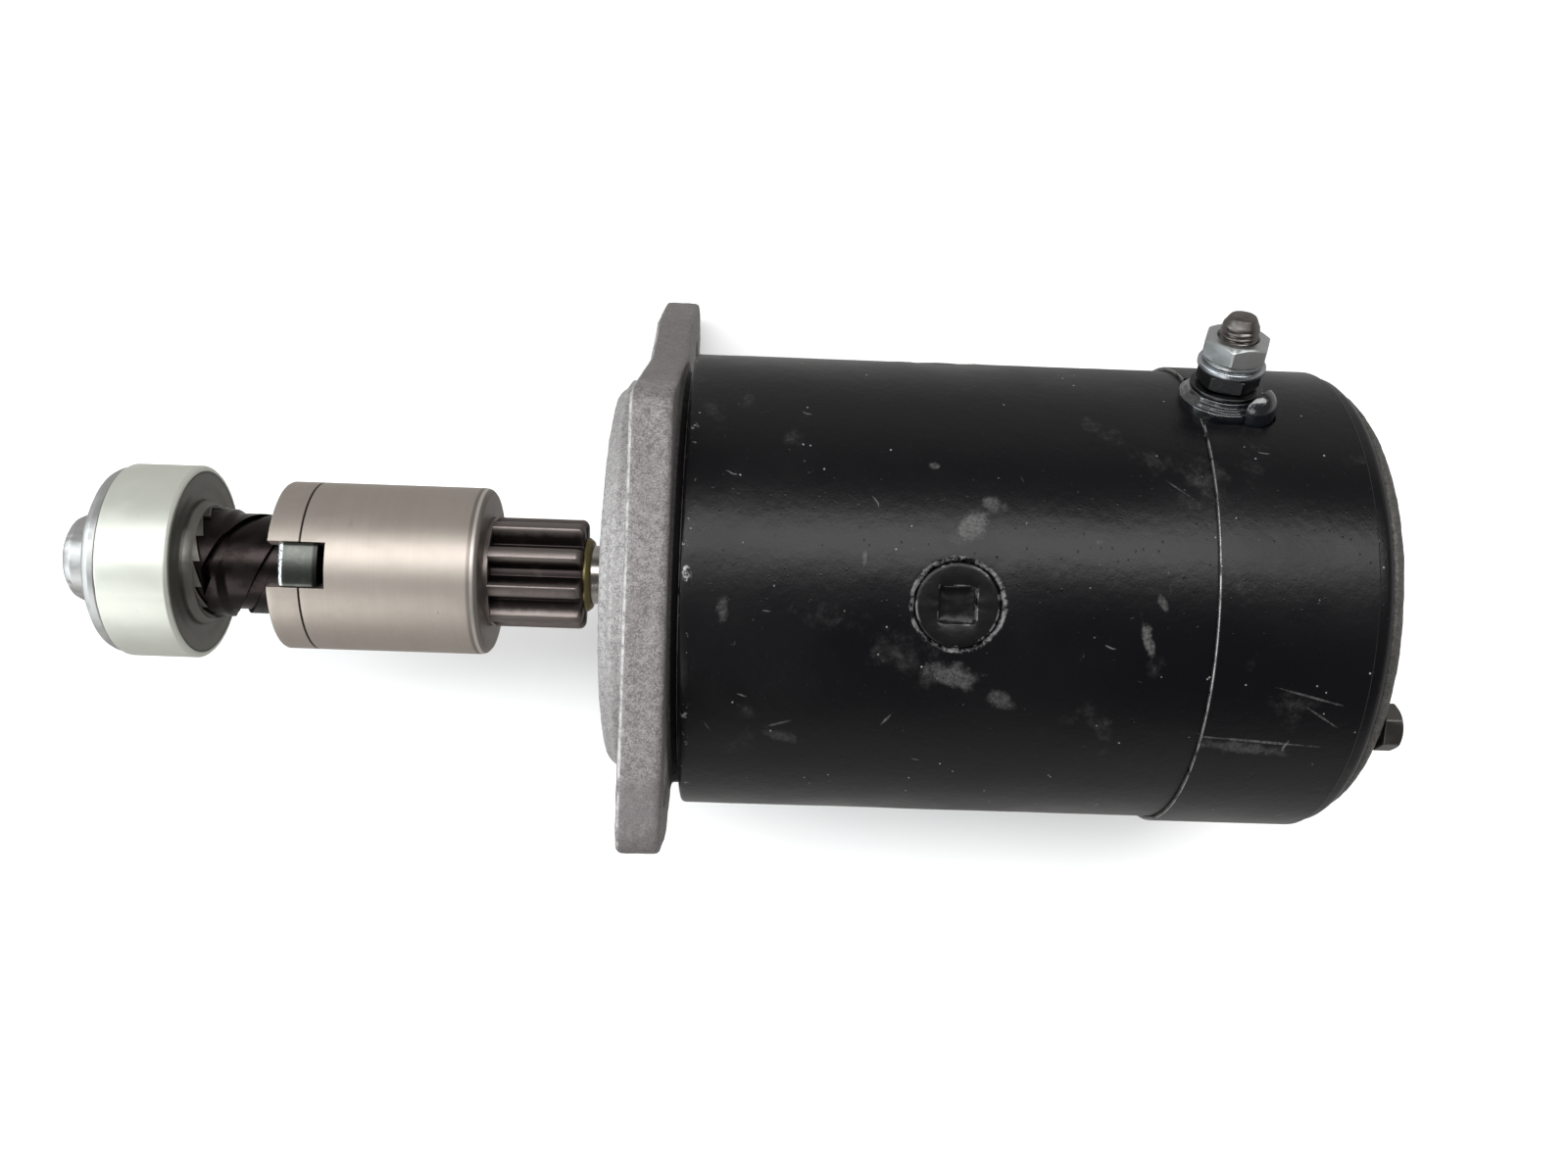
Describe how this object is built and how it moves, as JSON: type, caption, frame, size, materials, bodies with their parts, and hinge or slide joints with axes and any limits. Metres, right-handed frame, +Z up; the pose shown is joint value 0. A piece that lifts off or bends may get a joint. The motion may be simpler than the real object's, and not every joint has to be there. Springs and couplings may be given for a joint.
{
  "type": "starter motor",
  "caption": "Cylindrical electric starter motor with an ear-shaped mounting flange and an exposed screw-type inertia drive whose pinion slides along a left-hand screw.",
  "frame": {"origin": "centre of the flange's mounting face, on the shaft axis, where the pilot begins", "axes": "+X along the shaft from the drive towards the commutator end; +Z up with the motor lying on the flat of its flange; +Y towards the long ear of the flange"},
  "size_m": [0.2975, 0.1295, 0.108],
  "materials": {
    "black_paint": "satin black paint with an orange-peel skin, chipped and scuffed",
    "cast_alloy": "sand-cast, rough and matt",
    "cast_cover": "sand-cast, grey and dirty",
    "turned_steel": "satin turned steel",
    "zinc_plate": "dull zinc plate",
    "dark_steel": "oiled dark steel",
    "blued_steel": "brown-black oxide",
    "ground_steel": "ground steel",
    "bronze": "sintered bronze",
    "copper": "copper",
    "laminations": "stacked sheet steel",
    "coil_tape": "varnished cotton tape",
    "moulding": "black moulding",
    "rubber": "black rubber",
    "carbon": "carbon",
    "spring_steel": "spring steel"
  },
  "bodies": {
    "housing": {"band_clamp_nut": "zinc_plate", "band_clamp_screw": "zinc_plate", "brush_holder_1": "zinc_plate", "brush_holder_2": "zinc_plate", "brush_holder_3": "zinc_plate", "brush_holder_4": "zinc_plate", "brush_spring_1": "spring_steel", "brush_spring_2": "spring_steel", "brush_spring_3": "spring_steel", "brush_spring_4": "spring_steel", "commutator_end_bracket": "cast_cover", "commutator_end_bush": "bronze", "cover_band": "black_paint", "drive_end_bracket": "cast_alloy", "drive_end_bush": "bronze", "field_coil_1": "coil_tape", "field_coil_2": "coil_tape", "field_coil_3": "coil_tape", "field_coil_4": "coil_tape", "pole_screws": "black_paint", "pole_shoe_1": "laminations", "pole_shoe_2": "laminations", "pole_shoe_3": "laminations", "pole_shoe_4": "laminations", "terminal_base_nut": "dark_steel", "terminal_base_washer": "dark_steel", "terminal_flat_washer": "zinc_plate", "terminal_grommet": "moulding", "terminal_insulator": "moulding", "terminal_nut": "zinc_plate", "terminal_spring_washer": "zinc_plate", "terminal_stud": "dark_steel", "through_bolts": "zinc_plate", "yoke": "black_paint"},
    "armature": {"armature_shaft": "ground_steel", "armature_core": "laminations", "armature_windings": "copper", "commutator": "copper", "drive_end_thrust_washer": "dark_steel", "commutator_end_thrust_washer": "dark_steel", "screw_sleeve": "blued_steel", "drive_key": "dark_steel", "ratchet_collar": "zinc_plate", "drive_cup": "zinc_plate", "buffer_cushion": "rubber", "end_cap": "zinc_plate", "restraining_spring": "spring_steel"},
    "drive_seat": {"spring_sleeve": "dark_steel"},
    "pinion_and_barrel": {"pinion": "dark_steel", "pinion_bush": "bronze", "barrel": "turned_steel", "barrel_ring": "turned_steel", "control_nut": "zinc_plate"},
    "brush_1": {"brush_1": "carbon"},
    "brush_2": {"brush_2": "carbon"},
    "brush_3": {"brush_3": "carbon"},
    "brush_4": {"brush_4": "carbon"}
  },
  "joints": [
    {"name": "armature_spin", "type": "hinge", "parent": "housing", "child": "armature", "pos_m": [0, 0, 0], "axis": [1, 0, 0], "continuous": true},
    {"name": "drive_travel", "type": "slide", "parent": "armature", "child": "drive_seat", "axis": [-1, 0, 0], "range_m": [0, 0.018], "stiffness_N_per_m": 400, "springref_m": -0.012, "deforming": ["restraining_spring"]},
    {"name": "drive_twist", "type": "hinge", "parent": "drive_seat", "child": "pinion_and_barrel", "pos_m": [-0.05, 0, 0], "axis": [1, 0, 0], "range_deg": [0, 173]},
    {"name": "brush_1_slide", "type": "slide", "parent": "housing", "child": "brush_1", "axis": [0, -0.0698, 0.9976], "range_m": [0, 0.006], "stiffness_N_per_m": 500, "springref_m": -0.018, "deforming": ["brush_spring_1"]},
    {"name": "brush_2_slide", "type": "slide", "parent": "housing", "child": "brush_2", "axis": [0, -0.9976, -0.0698], "range_m": [0, 0.006], "stiffness_N_per_m": 500, "springref_m": -0.018, "deforming": ["brush_spring_2"]},
    {"name": "brush_3_slide", "type": "slide", "parent": "housing", "child": "brush_3", "axis": [0, 0.0698, -0.9976], "range_m": [0, 0.006], "stiffness_N_per_m": 500, "springref_m": -0.018, "deforming": ["brush_spring_3"]},
    {"name": "brush_4_slide", "type": "slide", "parent": "housing", "child": "brush_4", "axis": [0, 0.9976, 0.0698], "range_m": [0, 0.006], "stiffness_N_per_m": 500, "springref_m": -0.018, "deforming": ["brush_spring_4"]}
  ],
  "couplings": [
    {"joint": "drive_twist", "follows": "drive_travel", "rad_per_m": 167.55}
  ]
}
